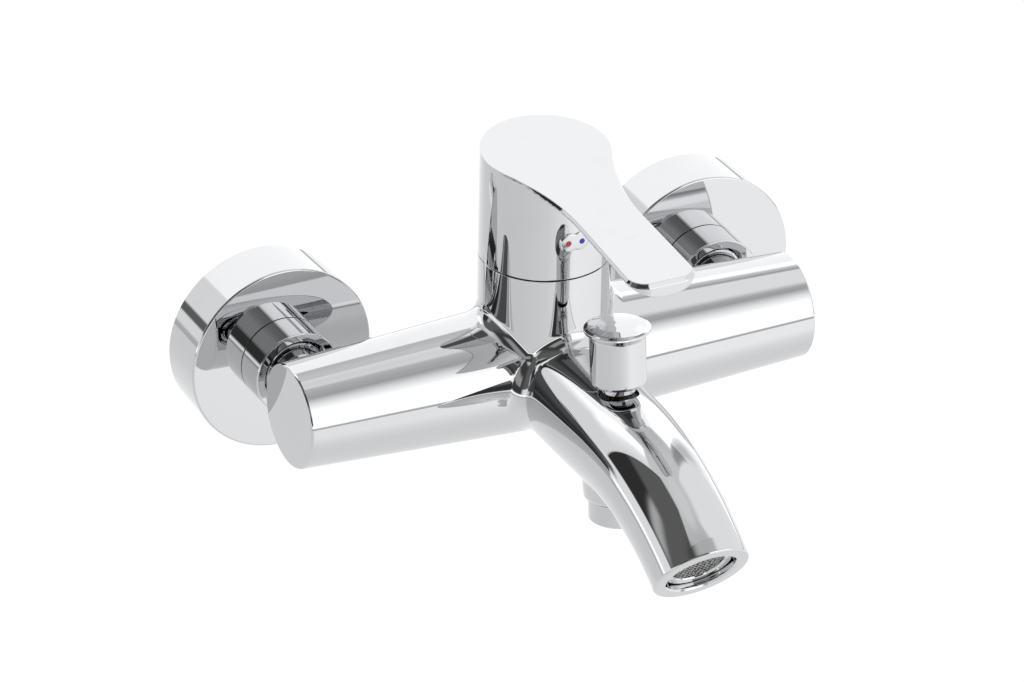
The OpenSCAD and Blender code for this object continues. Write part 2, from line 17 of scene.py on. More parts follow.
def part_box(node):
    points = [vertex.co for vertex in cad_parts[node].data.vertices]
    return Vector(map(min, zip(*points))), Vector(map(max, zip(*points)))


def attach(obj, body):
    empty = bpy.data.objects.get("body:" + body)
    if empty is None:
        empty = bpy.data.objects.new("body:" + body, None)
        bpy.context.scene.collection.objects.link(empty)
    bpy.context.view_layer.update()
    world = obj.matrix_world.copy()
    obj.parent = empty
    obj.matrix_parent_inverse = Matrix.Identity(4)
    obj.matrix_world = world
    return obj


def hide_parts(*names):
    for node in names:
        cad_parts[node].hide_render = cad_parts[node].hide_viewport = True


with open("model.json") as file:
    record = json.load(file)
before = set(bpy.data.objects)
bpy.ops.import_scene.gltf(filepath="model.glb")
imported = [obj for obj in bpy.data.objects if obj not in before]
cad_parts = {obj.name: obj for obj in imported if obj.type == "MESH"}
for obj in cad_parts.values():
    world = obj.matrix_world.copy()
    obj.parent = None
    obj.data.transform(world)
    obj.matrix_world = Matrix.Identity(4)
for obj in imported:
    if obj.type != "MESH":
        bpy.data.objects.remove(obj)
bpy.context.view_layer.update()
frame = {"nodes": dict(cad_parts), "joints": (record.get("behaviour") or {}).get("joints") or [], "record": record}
nodes = frame["nodes"]
print("nodes:", len(nodes))

# %% [markdown]
# The camera comes first, because every later choice is judged through it. It stands to the left of
# the mixer and looks down on it, with a long lens, so parallel edges stay nearly parallel.

# %% Camera
def look_from(azimuth, elevation, roll, distance, target, lens):
    """A camera that circles the target; azimuth 0 is in front of the wall, angles in degrees."""
    az, el, turn = (math.radians(v) for v in (azimuth, elevation, roll))
    back = Vector((math.sin(az) * math.cos(el), -math.cos(az) * math.cos(el), math.sin(el)))
    right = Vector((0, 0, 1)).cross(back).normalized()
    up = back.cross(right)
    right, up = (right * math.cos(turn) + up * math.sin(turn), up * math.cos(turn) - right * math.sin(turn))
    data = bpy.data.cameras.new("camera")
    data.lens, data.sensor_width = lens, 36
    data.clip_end = 100
    camera = bpy.data.objects.new("camera", data)
    bpy.context.scene.collection.objects.link(camera)
    place = Matrix((right, up, back)).transposed().to_4x4()
    place.translation = Vector(target) + back * distance
    camera.matrix_world = place
    return camera

camera = look_from(-26.61, 28.62, 0.87, 3.8112, (-0.01559, -0.06465, 0.01492), 421.9)
bpy.context.scene.camera = camera
print("camera at", [round(v, 3) for v in camera.location])

# %% [markdown]
# Shader maths reads best as plain expressions. `Socket` wraps a node's output and overloads the
# operators, so `1 - mask * 0.5` adds its Math nodes by itself. `Nodes.add` makes every other node.

# %% A small language for shaders
class Socket:
    def __init__(self, tree, link):
        self.tree, self.link = tree, link

    def math(self, operation, *others):
        return self.tree.add("ShaderNodeMath", {"operation": operation}, [self, *others])

    def __add__(self, other): return self.math("ADD", other)
    def __sub__(self, other): return self.math("SUBTRACT", other)
    def __mul__(self, other): return self.math("MULTIPLY", other)
    def __truediv__(self, other): return self.math("DIVIDE", other)
    def __radd__(self, other): return self.math("ADD", other)
    def __rmul__(self, other): return self.math("MULTIPLY", other)
    def __rsub__(self, other):
        return self.tree.add("ShaderNodeMath", {"operation": "SUBTRACT"}, [other, self])

    def ramp(self, low, high):
        smooth = {"interpolation_type": "SMOOTHSTEP"}
        return self.tree.add("ShaderNodeMapRange", smooth, [self, low, high, 0.0, 1.0])


class Nodes:
    def __init__(self, tree):
        self.tree = tree
        tree.nodes.clear()

    def add(self, kind, settings=None, values=(), output=0):
        node = self.tree.nodes.new(kind)
        for key, value in (settings or {}).items():
            if key == "stops":
                self.set_stops(node.color_ramp, value)
            else:
                setattr(node, key, value)
        pairs = values.items() if isinstance(values, dict) else enumerate(values)
        for key, value in pairs:
            if isinstance(value, Socket):
                self.tree.links.new(value.link, node.inputs[key])
            elif value is not None:
                node.inputs[key].default_value = value
        return Socket(self, node.outputs[output]) if node.outputs else node

    def set_stops(self, ramp, stops):
        """Stops are (position, grey value)."""
        while len(ramp.elements) < len(stops):
            ramp.elements.new(1.0)
        for element, (position, grey) in zip(ramp.elements, stops):
            element.position, element.color = position, (grey, grey, grey, 1)

    def mix(self, factor, first, second):
        node = self.tree.nodes.new("ShaderNodeMix")
        node.data_type = "RGBA"
        for index, value in ((0, factor), (6, first), (7, second)):
            if isinstance(value, Socket):
                self.tree.links.new(value.link, node.inputs[index])
            else:
                node.inputs[index].default_value = value
        return Socket(self, node.outputs[2])

    def finish(self, shader):
        end = self.tree.nodes.new("ShaderNodeOutputMaterial")
        self.tree.links.new(shader.link, end.inputs["Surface"])


def material(name, build):
    made = bpy.data.materials.new(name)
    made.use_nodes = True
    nodes_here = Nodes(made.node_tree)
    nodes_here.finish(build(nodes_here))
    return made

# %% [markdown]
# Chrome plate is a mirror with a faint blue grey. Real plate is not perfect: it has wiping marks
# and a haze of dried water too faint to see straight on, which only soften a highlight here and
# there. Noise on Object coordinates varies the roughness by a few thousandths and no more.

# %% Finishes
def metal_finish(color, rough, haze, scale=60.0, tint=0.03):
    def build(n):
        where = n.add("ShaderNodeTexCoord", output=3)
        cloud = n.add("ShaderNodeTexNoise", {}, {"Vector": where, "Scale": scale, "Detail": 4.0})
        wipe_at = n.add("ShaderNodeMapping", {}, {
            "Vector": where, "Rotation": (0.3, 0.5, 0.2), "Scale": (1.0, 1.0, 9.0)})
        wipe = n.add("ShaderNodeTexNoise", {}, {"Vector": wipe_at, "Scale": scale * 2.5, "Detail": 3.0})
        smear = cloud.ramp(0.45, 0.75) * wipe.ramp(0.4, 0.7)
        dull = tuple(c * (1 - tint) for c in color)
        return n.add("ShaderNodeBsdfPrincipled", {}, {
            "Base Color": n.mix(smear, (*color, 1), (*dull, 1)),
            "Metallic": 1.0,
            "Roughness": smear * haze + rough})
    return build

def moulded(color, rough, grain, bump):
    def build(n):
        where = n.add("ShaderNodeTexCoord", output=3)
        cloud = n.add("ShaderNodeTexNoise", {}, {"Vector": where, "Scale": grain, "Detail": 3.0})
        deep = tuple(c * 0.8 for c in color)
        relief_n = n.add("ShaderNodeBump", {}, {"Strength": bump, "Distance": 0.00003, "Height": cloud})
        return n.add("ShaderNodeBsdfPrincipled", {}, {
            "Base Color": n.mix(cloud.ramp(0.3, 0.7), (*color, 1), (*deep, 1)),
            "Roughness": cloud * 0.15 + rough, "Normal": relief_n})
    return build

chrome = material("polished chrome", metal_finish((0.62, 0.625, 0.635), 0.012, 0.02))
dark_bush = material("dark bush", moulded((0.012, 0.012, 0.013), 0.45, 900.0, 0.3))
print("finishes:", chrome.name, dark_bush.name)

# %% [markdown]
# Every piece below is made as patches: points, faces and one normal per point. Where two patches
# meet, their points are the same, so they merge into one closed skin, while each face corner keeps
# its own exact normal. That gives crisp edges and true curves from a modest mesh, because what the
# eye judges in a mirror is the normal.

# %% Patches into a finished piece
def unit(v):
    return v / np.maximum(np.linalg.norm(v, axis=-1, keepdims=True), 1e-9)


def placed(name, mesh, body, stands_for):
    """Hangs a finished mesh on its body, in place of the nodes that it stands for."""
    piece = bpy.data.objects.new(name, mesh)
    bpy.context.scene.collection.objects.link(piece)
    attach(piece, body)
    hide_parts(*stands_for)
    print(f"{name}: {len(mesh.vertices)} points, {len(mesh.polygons)} faces")


def put_mesh(name, patches, finish, body, *stands_for, slot):
    """Welds patches (millimetres) into one mesh in place, with exact corner normals."""
    starts = np.cumsum([0] + [len(p[0]) for p in patches])
    points = np.concatenate([p[0] for p in patches])
    normals = np.concatenate([p[2] for p in patches])
    spots = np.round(points * 2e3).astype(np.int64)
    _, first, same = np.unique(spots, axis=0, return_index=True, return_inverse=True)
    same = same.reshape(-1)
    faces, corner_normals = [], []
    for start, (_, patch_faces, _) in zip(starts, patches):
        for face in patch_faces:
            ids = [int(i) + int(start) for i in face]
            kept = [i for k, i in enumerate(ids) if same[i] != same[ids[k - 1]]]
            if len(kept) > 2:
                faces.append([int(same[i]) for i in kept])
                corner_normals += [normals[i] for i in kept]
    mesh = bpy.data.meshes.new(name)
    mesh.from_pydata((points[first] / 1000).tolist(), [], faces)
    mesh.polygons.foreach_set("use_smooth", [True] * len(mesh.polygons))
    mesh.normals_split_custom_set(unit(np.array(corner_normals)).tolist())
    mesh.materials.append(finish)
    placed(name, mesh, body, stands_for)

# %% [markdown]
# A lathe turns most of this mixer's pieces, and so do we. A profile is a list of corners
# (radius, height, corner radius) with the metal on its left. Each corner becomes a short arc, and
# each point keeps the normal of the line or arc that it lies on, so a flat face reflects as flat.

# %% The lathe
def rounded(profile, closed=True, steps=5):
    """Corners -> points and their outward normals along the path."""
    corners = [np.array(p[:2], float) for p in profile]
    points, normals = [], []
    for i, here in enumerate(corners):
        radius = profile[i][2] if len(profile[i]) > 2 else 0.0
        before, after = corners[i - 1], corners[(i + 1) % len(corners)]
        if not closed and i in (0, len(corners) - 1):
            way = after - here if i == 0 else here - before
            points.append(here)
            normals.append(np.array([way[1], -way[0]]) / np.linalg.norm(way))
            continue
        into = (here - before) / np.linalg.norm(here - before)
        out = (after - here) / np.linalg.norm(after - here)
        turn = math.atan2(into[0] * out[1] - into[1] * out[0], into @ out)
        n_in, n_out = np.array([into[1], -into[0]]), np.array([out[1], -out[0]])
        if abs(turn) < 1e-3 or radius <= 0:
            points += [here, here]
            normals += [n_in, n_out]
            continue
        side = 1 if turn > 0 else -1
        start = here - into * radius * math.tan(abs(turn) / 2)
        centre = start - n_in * radius * side
        for a in np.linspace(0, turn, steps + 1):
            c, s = math.cos(a), math.sin(a)
            n = np.array([n_in[0] * c - n_in[1] * s, n_in[0] * s + n_in[1] * c])
            points.append(centre + n * radius * side)
            normals.append(n)
    return np.array(points), np.array(normals)


def basis(axis):
    axis = np.array(axis, float)
    axis /= np.linalg.norm(axis)
    helper = np.array([1.0, 0, 0]) if abs(axis[0]) < 0.9 else np.array([0, 1.0, 0])
    side = np.cross(helper, axis)
    side /= np.linalg.norm(side)
    return side, np.cross(axis, side), axis


def strips(rings, closed_path=False):
    """Rings of equal length, each (points, normals) -> one patch; a face's order follows the ring."""
    size = len(rings[0][0])
    points = np.concatenate([r[0] for r in rings])
    normals = np.concatenate([r[1] for r in rings])
    faces = []
    for i in range(len(rings) if closed_path else len(rings) - 1):
        j = (i + 1) % len(rings)
        if np.allclose(rings[i][0], rings[j][0], atol=1e-6):
            continue
        a, b = i * size, j * size
        faces += [(a + k, a + (k + 1) % size, b + (k + 1) % size, b + k) for k in range(size)]
    return points, faces, normals


def lathe(profile, origin, axis, segments=144, closed=True, steps=5):
    flat, flat_normals = rounded(profile, closed, steps)
    u, v, w = basis(axis)
    angles = np.arange(segments) * 2 * math.pi / segments
    rays = np.cos(angles)[:, None] * u + np.sin(angles)[:, None] * v
    rings = [(np.asarray(origin) + rays * f[0] + w * f[1], rays * n[0] + w * n[1])
             for f, n in zip(flat, flat_normals)]
    return strips(rings, closed)

# %% [markdown]
# The body casting is one blended solid: two tapered arms, the barrel and the spout flow into each
# other through fillets. Such a shape is easiest to state as a signed distance, negative inside and
# positive outside. A fillet is then one formula: the distance to a ball that rolls in the corner
# and touches both surfaces. The same formula on the inside rounds an outer edge.

# %% The rolling ball
def joined(first, second, ball):
    """Union of two (distance, normal) shapes with the fillet that a rolling ball leaves."""
    (a, na), (b, nb) = first, second
    cosine = np.clip((na * nb).sum(-1), -0.999, 0.9995)
    ua, ub = ball - a, ball - b
    corner = (ua > cosine * ub) & (ub > cosine * ua) & (ua > 0) & (ub > 0)
    spread = 1 - cosine ** 2
    reach = np.sqrt(np.maximum((ua ** 2 + ub ** 2 - 2 * cosine * ua * ub) / spread, 1e-12))
    distance = np.where(corner, np.minimum(np.minimum(a, b), ball - reach), np.minimum(a, b))
    wa, wb = (ua - cosine * ub) / spread, (ub - cosine * ua) / spread
    blend = unit(na * wa[..., None] + nb * wb[..., None])
    return distance, np.where(corner[..., None], blend, np.where((a < b)[..., None], na, nb))


def common(first, second, ball):
    """What two shapes share, with its outer edge rounded."""
    d, n = joined((-first[0], -first[1]), (-second[0], -second[1]), ball)
    return -d, -n

# %% [markdown]
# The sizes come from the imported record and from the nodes' boxes, so the skin stays on the CAD.

# %% Sizes of the casting in millimetres
body_low, body_high = (np.array(c) * 1000 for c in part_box("valve_body"))
half_length, rim_z = body_high[0], body_high[2]
joint = {j["name"]: j for j in frame["joints"]}
axis_y = joint["lever_turn"]["pos_m"][1] * 1000
pull = unit(np.array(joint["diverter_pull"]["axis"], float))
print("half length", round(half_length, 2), "rim", round(rim_z, 2), "axis y", round(axis_y, 2))

barrel_r, arm_end_r = 21.3, 16.9
spout_z, bend_y, bend_r, dip = -1.4, axis_y - 57.0, 92.5, math.radians(37.3)
bend_z = spout_z - bend_r
mouth = np.array([0, bend_y - bend_r * math.sin(dip), bend_z + bend_r * math.cos(dip)])
mouth_out = np.array([0, -math.cos(dip), -math.sin(dip)])
diverter = np.array([0, axis_y - 55.0, spout_z])
valve_zero = diverter + pull * 1.4
print("mouth centre", mouth.round(2))

# %% The shapes that the casting joins
def arms(p):
    x, y, z = p[..., 0], p[..., 1] - axis_y, p[..., 2]
    r = np.maximum(np.hypot(y, z), 1e-6)
    slope = (barrel_r - arm_end_r) / half_length
    along = np.sqrt(x ** 2 + 36.0)
    n = unit(np.stack([slope * x / along, y / r, z / r], -1))
    return (r - (barrel_r - slope * (along - 6.0))) * math.cos(math.atan(slope)), n


def barrel(p):
    x, y, z = p[..., 0], p[..., 1] - axis_y, np.minimum(p[..., 2], 0) * 1.6
    r = np.maximum(np.sqrt(x ** 2 + y ** 2 + z ** 2), 1e-6)
    return r - barrel_r, np.stack([x, y, z], -1) / r[..., None]


def spout_radius(s):
    """Radius s millimetres along the centre line from the body's axis: it thins towards the mouth."""
    t = np.clip((s - 35) / 95, 0, 1)
    return 17.35 - 1.35 * t * t * (3 - 2 * t)


def spout(p):
    x, y, z = p[..., 0], p[..., 1], p[..., 2]
    bend = y < bend_y
    dy, dz = y - bend_y, z - bend_z
    ring = np.maximum(np.hypot(dy, dz), 1e-6)
    side = np.where(bend, ring - bend_r, z - spout_z)
    back = np.minimum(axis_y - y, 0)
    r = np.maximum(np.sqrt(x ** 2 + side ** 2 + back ** 2), 1e-6)
    s = np.where(bend, 57.0 + bend_r * np.arctan2(-dy, dz), axis_y - y)
    up_y, up_z = np.where(bend, dy / ring, 0.0), np.where(bend, dz / ring, 1.0)
    n = np.stack([x, side * up_y - back, side * up_z], -1) / r[..., None]
    return r - spout_radius(s), n


def boss(p):
    q = p - diverter
    h = q @ pull
    flat = q - h[..., None] * pull
    top = np.maximum(h + 6.0, 0)
    r = np.maximum(np.sqrt((flat ** 2).sum(-1) + top ** 2), 1e-6)
    n = (flat + top[..., None] * pull) / r[..., None]
    return r - (13.3 + np.minimum(h, 0) * (1.4 / 18.3)), n


def casting(p):
    whole = joined(arms(p), barrel(p), 5.0)
    whole = joined(whole, spout(p), 5.5)
    return joined(whole, boss(p), 1.2)[0]

# %% [markdown]
# To turn a distance function into a mesh we walk over a grid of cells. A cell whose corners are
# not all on one side holds a piece of the surface and gets one vertex; each grid edge that crosses
# the surface joins its four cells with a quad. Then every vertex slides along the gradient until
# the distance is zero, and the gradient there is its exact normal.

# %% From a distance function to a skin
def gradient(field, p, h=2e-3):
    g = np.empty_like(p)
    for k in range(3):
        step = np.zeros(3)
        step[k] = h
        g[:, k] = (field(p + step) - field(p - step)) / (2 * h)
    return g


def settle(field, p, rounds=4):
    for _ in range(rounds):
        g = gradient(field, p)
        p = p - g * (field(p) / np.maximum((g ** 2).sum(1), 1e-9))[:, None]
    return p


def skin(field, low, high, step, relax=3):
    axes = [np.arange(a, b + step, step) for a, b in zip(low, high)]
    yy, zz = np.meshgrid(axes[1], axes[2], indexing="ij")
    v = np.stack([field(np.stack([np.full_like(yy, x), yy, zz], -1)) for x in axes[0]])
    inside = v < 0
    shape = [n - 1 for n in v.shape]
    corners = [(a, b, c) for a in (0, 1) for b in (0, 1) for c in (0, 1)]
    total = sum(inside[a:a + shape[0], b:b + shape[1], c:c + shape[2]].astype(np.int8)
                for a, b, c in corners)
    cells = np.argwhere((total > 0) & (total < 8))
    number = -np.ones(shape, np.int32)
    number[tuple(cells.T)] = np.arange(len(cells))
    place, hits = np.zeros((len(cells), 3)), np.zeros(len(cells))
    for a in corners:
        for k in range(3):
            if not a[k]:
                b = tuple(1 if j == k else a[j] for j in range(3))
                va, vb = v[tuple((cells + a).T)], v[tuple((cells + b).T)]
                cross = (va < 0) != (vb < 0)
                t = np.where(cross, va / np.where(cross, va - vb, 1), 0)
                spot = np.array(a, float) + np.outer(t, np.array(b) - np.array(a))
                place[cross] += spot[cross]
                hits += cross
    points = np.array([ax[0] for ax in axes]) + (cells + place / hits[:, None]) * step
    faces = []
    for k in range(3):
        i, j = (k + 1) % 3, (k + 2) % 3
        near = tuple(slice(None, -1) if m == k else slice(None) for m in range(3))
        far = tuple(slice(1, None) if m == k else slice(None) for m in range(3))
        edges = np.argwhere(inside[near] != inside[far])
        at_i, at_j = edges[:, i], edges[:, j]
        edges = edges[(at_i > 0) & (at_j > 0) & (at_i < shape[i]) & (at_j < shape[j])]
        ring = []
        for di, dj in ((-1, -1), (0, -1), (0, 0), (-1, 0)):
            cell = edges.copy()
            cell[:, i] += di
            cell[:, j] += dj
            ring.append(number[tuple(cell.T)])
        ring = np.stack(ring, 1)
        back = ~inside[tuple(edges.T)]
        ring[back] = ring[back][:, ::-1]
        faces.append(ring)
    faces = np.concatenate(faces)
    points = settle(field, points)
    pairs = np.concatenate([faces[:, [0, 1]], faces[:, [1, 2]], faces[:, [2, 3]], faces[:, [3, 0]]])
    pairs = np.concatenate([pairs, pairs[:, ::-1]])
    count = np.maximum(np.bincount(pairs[:, 0], minlength=len(points)), 1)
    for _ in range(relax):
        sums = [np.bincount(pairs[:, 0], points[pairs[:, 1], k], len(points)) for k in range(3)]
        points = settle(field, (points + np.stack(sums, 1) / count[:, None]) / 2, 2)
    return settle(field, points, 3), faces

# %% [markdown]
# The castings' ends are machined: cut off square, then edge broken, bored and faced. We cut the
# skin with planes, find each open edge loop, and carry the loop on through a lathe profile.

# %% Cutting and finding the open edges
def cut(points, faces, planes):
    """Cuts a skin at planes (point, outward direction, optional test of which faces it meets)."""
    bm = bmesh.new()
    verts = [bm.verts.new(p) for p in points]
    for f in faces:
        bm.faces.new([verts[i] for i in f])
    for plane in planes:
        point, out = plane[:2]
        meets = plane[2] if len(plane) > 2 else None
        chosen = [f for f in bm.faces if meets is None or meets(f.calc_center_median())]
        near_verts, near_edges = {v for f in chosen for v in f.verts}, {e for f in chosen for e in f.edges}
        parts = list(near_verts) + list(near_edges) + chosen
        bmesh.ops.bisect_plane(bm, geom=parts, dist=1e-4, plane_co=Vector(point), plane_no=Vector(out),
                               clear_outer=True)
    bm.verts.index_update()
    points = np.array([tuple(v.co) for v in bm.verts])
    faces = [[v.index for v in f.verts] for f in bm.faces]
    bm.free()
    return points, faces


def open_loops(faces):
    """Boundary loops, each in the order that a face on their other side would take."""
    edges = {(f[k - 1], f[k]) for f in faces for k in range(len(f))}
    after = {b: a for a, b in edges if (b, a) not in edges}
    loops = []
    while after:
        start, here = next(iter(after.items()))
        loop = [start]
        del after[start]
        while here != start:
            loop.append(here)
            here = after.pop(here)
        loops.append(np.array(loop))
    return sorted(loops, key=len, reverse=True)


def loop_near(points, loops, place):
    return min(loops, key=lambda loop: np.linalg.norm(points[loop].mean(0) - place))


def faced(loop, centre, out, profile, steps=5):
    """Carries a round loop of points on along a profile of (radius, height, corner radius)."""
    d = loop - centre
    d = d - np.outer(d @ out, out)
    rays = unit(d)
    first = (np.linalg.norm(d, axis=1).mean(), ((loop - centre) @ out).mean())
    flat, flat_n = rounded([first] + profile, closed=False, steps=steps)
    rings = [(loop, rays * flat_n[0][0] + out * flat_n[0][1])]
    rings += [(centre + rays * f[0] + out * f[1], rays * n[0] + out * n[1])
              for f, n in zip(flat[1:], flat_n[1:])]
    return strips(rings)


def bored(points, faces, centre, axis, radius, field, count=120):
    """Opens a round hole in a skin: drops the faces there and stitches in an exact ring."""
    d = points - centre
    h = d @ axis
    close = (np.linalg.norm(d - np.outer(h, axis), axis=1) < radius + 0.35) & (h > 0)
    kept = [f for f in faces if not any(close[i] for i in f)]
    u, v, w = basis(axis)
    loop = loop_near(points, open_loops(kept), centre + w * h[close].mean())
    angle = lambda q: np.unwrap(np.arctan2((q - centre) @ v, (q - centre) @ u))
    turn = angle(points[loop])
    way = 1 if turn[-1] > turn[0] else -1
    spin = turn[0] + way * np.arange(count) * 2 * math.pi / count
    ring = centre + w * h[close].mean() + radius * (np.cos(spin)[:, None] * u + np.sin(spin)[:, None] * v)
    for _ in range(8):
        ring = ring - w * (field(ring) / (gradient(field, ring) @ w))[:, None]
    outer = np.append(turn, turn[0] + way * 2 * math.pi) * way
    inner = np.append(spin, spin[0] + way * 2 * math.pi) * way
    n, m, i, j = len(loop), count, 0, 0
    stitches = []
    while i < n or j < m:
        if j >= m or (i < n and outer[i + 1] <= inner[j + 1]):
            stitches.append((i % n, (i + 1) % n, n + j % m))
            i += 1
        else:
            stitches.append((i % n, n + (j + 1) % m, n + j % m))
            j += 1
    both = np.concatenate([points[loop], ring])
    return kept, (both, stitches, gradient(field, both)), ring

# %% [markdown]
# ## The casting
# The skin is made with all its ends running on too long, then cut. The arms end in plain discs with
# a softly broken edge. The barrel's rim is bevelled inside and runs down into the threaded chamber.
# The mouth is a wide faced ring round the aerator's seat, and the diverter sits in a drilled hole.

# %% The casting's skin
grid = 0.92
low = (-half_length - 2, mouth[1] - 6, -44)
high = (half_length + 2, axis_y + 25, rim_z + 2)
points, faces = skin(casting, low, high, grid)
print("casting skin:", len(points), "points")

# %% The casting's machined ends
edge, boss_end = 0.7, valve_zero + pull * -19.7
arm_end = {s: np.array([s * half_length, axis_y, 0.0]) for s in (-1, 1)}
up = np.array([0.0, 0, 1])
at_mouth = lambda c: c.y < mouth[1] + 25 and c.z < 6
at_boss = lambda c: c.z < -15 and abs(c.x) < 16 and abs(c.y - boss_end[1]) < 18
points, faces = cut(points, faces, [
    ((half_length - edge, 0, 0), (1, 0, 0)), ((edge - half_length, 0, 0), (-1, 0, 0)),
    ((0, 0, rim_z - 0.25), (0, 0, 1)),
    (mouth - mouth_out * 0.9, mouth_out, at_mouth),
    (boss_end + pull * 0.5, -pull, at_boss)])
faces, hole_patch, hole_ring = bored(points, faces, diverter, pull, 6.75, casting)
loops = open_loops(faces)
print("open edges:", [len(loop) for loop in loops])
ends = [hole_patch]
for s in (-1, 1):
    out = np.array([float(s), 0, 0])
    ends.append(faced(points[loop_near(points, loops, arm_end[s])], arm_end[s], out, [
        (arm_end_r + 0.01, 0, edge), (8.0, 0), (0.0, 0)]))
rim, seat_z = np.array([0, axis_y, rim_z]), 9
ends.append(faced(points[loop_near(points, loops, rim)], rim, up, [
    (barrel_r, 0, 0.12), (20.9, 0, 0.1), (19.2, -2.8, 0.2), (18.35, -3.2), (18.35, -8.5), (17.35, -8.6),
    (17.35, seat_z - rim_z), (0, seat_z - rim_z)]))
ends.append(faced(points[loop_near(points, loops, mouth)], mouth, mouth_out, [
    (16.06, 0, 0.85), (12.1, 0, 0.25), (11.55, -0.7, 0.3), (11.55, -13.5), (0, -13.5)]))
ends.append(faced(points[loop_near(points, loops, boss_end)], boss_end, -pull, [
    (11.9, 0, 0.4), (10.0, 0, 0.2), (9.57, -0.5, 0.2), (9.57, -6.6), (0, -6.6)]))
print("ends made:", len(ends))

# %% The diverter's hole, and the finished casting
hole_r = 6.45
heights = (hole_ring - diverter) @ pull
rays = unit(hole_ring - diverter - np.outer(heights, pull))
tip = gradient(casting, hole_ring)
wall = [(hole_ring, tip)]
for depth, radius, mix in ((0.1, 6.58, 0.5), (0.35, hole_r, 1.0)):
    wall.append((diverter + rays * radius + np.outer(heights - depth, pull),
                 unit(tip * (1 - mix) - rays * mix)))
floor_ring, floor_centre = valve_zero + rays * hole_r + pull * 10.0, valve_zero + rays * 0 + pull * 10.0
wall += [(floor_ring, -rays), (floor_ring, rays * 0 + pull), (floor_centre, rays * 0 + pull)]
ends.append(strips(wall))
put_mesh("body_casting", [(points, faces, gradient(casting, points))] + ends,
         chrome, "mixer", "valve_body", slot="chrome")

# %% [markdown]
# ## The handle
# The real handle is one die casting: a round cap that turns into a flat lever. Its top is one plane
# that slopes to the front, its plan is the cap's circle led into the lever by two large arcs, and
# its underside is rounded like a boat. We state the cap and the lever as distances again, join
# them with a small fillet, and cut the sloping top last, so that its edge is one clean line.

# %% The handle's shape
handle_low = np.array(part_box("handle")[0]) * 1000
slope = math.radians(3.8)
skirt_z, top_z = handle_low[2], 76.1
arc_r, arc_x, waist_y, tip_half, tip_y, tip_r = 76.2, 86.5, -45.0, 10.8, -85.0, 5.5
lever_t, lever_edge, bevel = 5.5, 2.0, math.radians(40)
print("handle from z", round(skirt_z, 2), "to front", round(handle_low[1], 2))


def lever_frame(p):
    y, z = p[..., 1] - axis_y, p[..., 2] - top_z
    return p[..., 0], y * math.cos(slope) + z * math.sin(slope), z * math.cos(slope) - y * math.sin(slope)


def from_lever(nx, ny, nz):
    """A direction in the lever's sloping frame, turned back upright."""
    c, s = math.cos(slope), math.sin(slope)
    return np.stack([nx, ny * c - nz * s, ny * s + nz * c], -1)


def lever_side(x, y):
    """The lever's plan: arc, then straight, then the tip's round corner. Distance and direction."""
    ax = np.abs(x)
    cx, cy = arc_x - ax, waist_y - y
    reach = np.maximum(np.hypot(cx, cy), 1e-6)
    arc = (arc_r - reach, cx / reach, cy / reach)
    widen = (tip_half - (arc_x - arc_r)) / 36.5
    k = 1 / math.hypot(1, widen)
    line = ((ax - (arc_x - arc_r) - widen * (waist_y - y)) * k, k + 0 * ax, widen * k + 0 * ax)
    qx, qy = ax - (tip_half - tip_r), (tip_y + tip_r) - y
    far = np.maximum(np.hypot(qx, qy), 1e-6)
    corner = (far - tip_r, qx / far, -qy / far)
    front = (tip_y - y, 0 * ax, -1 + 0 * ax)
    straight = np.where((qy > 0) & (tip_y - y > ax - tip_half), 3, 1)
    pick = np.where(y > waist_y, 0, np.where((qx > 0) & (qy > 0), 2, straight))
    d, nx, ny = (np.choose(pick, [s[i] for s in (arc, line, corner, front)]) for i in range(3))
    return d, nx * np.sign(x + 1e-12), ny


def lever_width(y):
    """Half width of the lever's plan at y."""
    arc = arc_x - np.sqrt(arc_r ** 2 - (np.clip(y, waist_y, -9.83) - waist_y) ** 2)
    return arc + np.maximum(waist_y - y, 0) * (tip_half - (arc_x - arc_r)) / 36.5


def edge_share(y):
    """The edge grows from nothing where the lever leaves the cap to its full height."""
    t = np.clip((-y - 10.0) / 18.0, 0, 1)
    return 0.12 + 0.88 * t * t * (3 - 2 * t)


def belly_depth(x, y):
    edge = lever_edge * edge_share(y)
    return edge + (lever_t - edge) * (1 - np.minimum(np.abs(x) / lever_width(y), 1.15) ** 2)


def handle_shape(p):
    x, y, z = p[..., 0], p[..., 1] - axis_y, p[..., 2]
    r = np.maximum(np.hypot(x, y), 1e-6)
    taper = 0.2 / 36
    cap = (r - (21.3 - taper * (z - skirt_z)), unit(np.stack([x / r, y / r, 0 * r + taper], -1)))
    lx, ly, lz = lever_frame(p)
    side, nx, ny = lever_side(lx, ly)
    c, s = math.cos(bevel), math.sin(bevel)
    slant = (side * c + lz * s, from_lever(nx * c, ny * c, s + 0 * nx))
    wall = (side - 1.2 * edge_share(ly), from_lever(nx, ny, 0 * nx))
    plan = common(slant, wall, 0.3)
    root = ly + 9.0
    inward = from_lever(0 * nx, 1 + 0 * nx, 0 * nx)
    plan = (np.maximum(plan[0], root), np.where((root > plan[0])[..., None], inward, plan[1]))
    h = 0.01
    gx = (belly_depth(lx + h, ly) - belly_depth(lx - h, ly)) / (2 * h)
    gy = (belly_depth(lx, ly + h) - belly_depth(lx, ly - h)) / (2 * h)
    size = np.sqrt(gx ** 2 + gy ** 2 + 1)
    belly = ((-lz - belly_depth(lx, ly)) / size, from_lever(-gx / size, -gy / size, -1 / size))
    lever = common(plan, belly, 0.4)
    return joined(cap, lever, 0.8)[0]

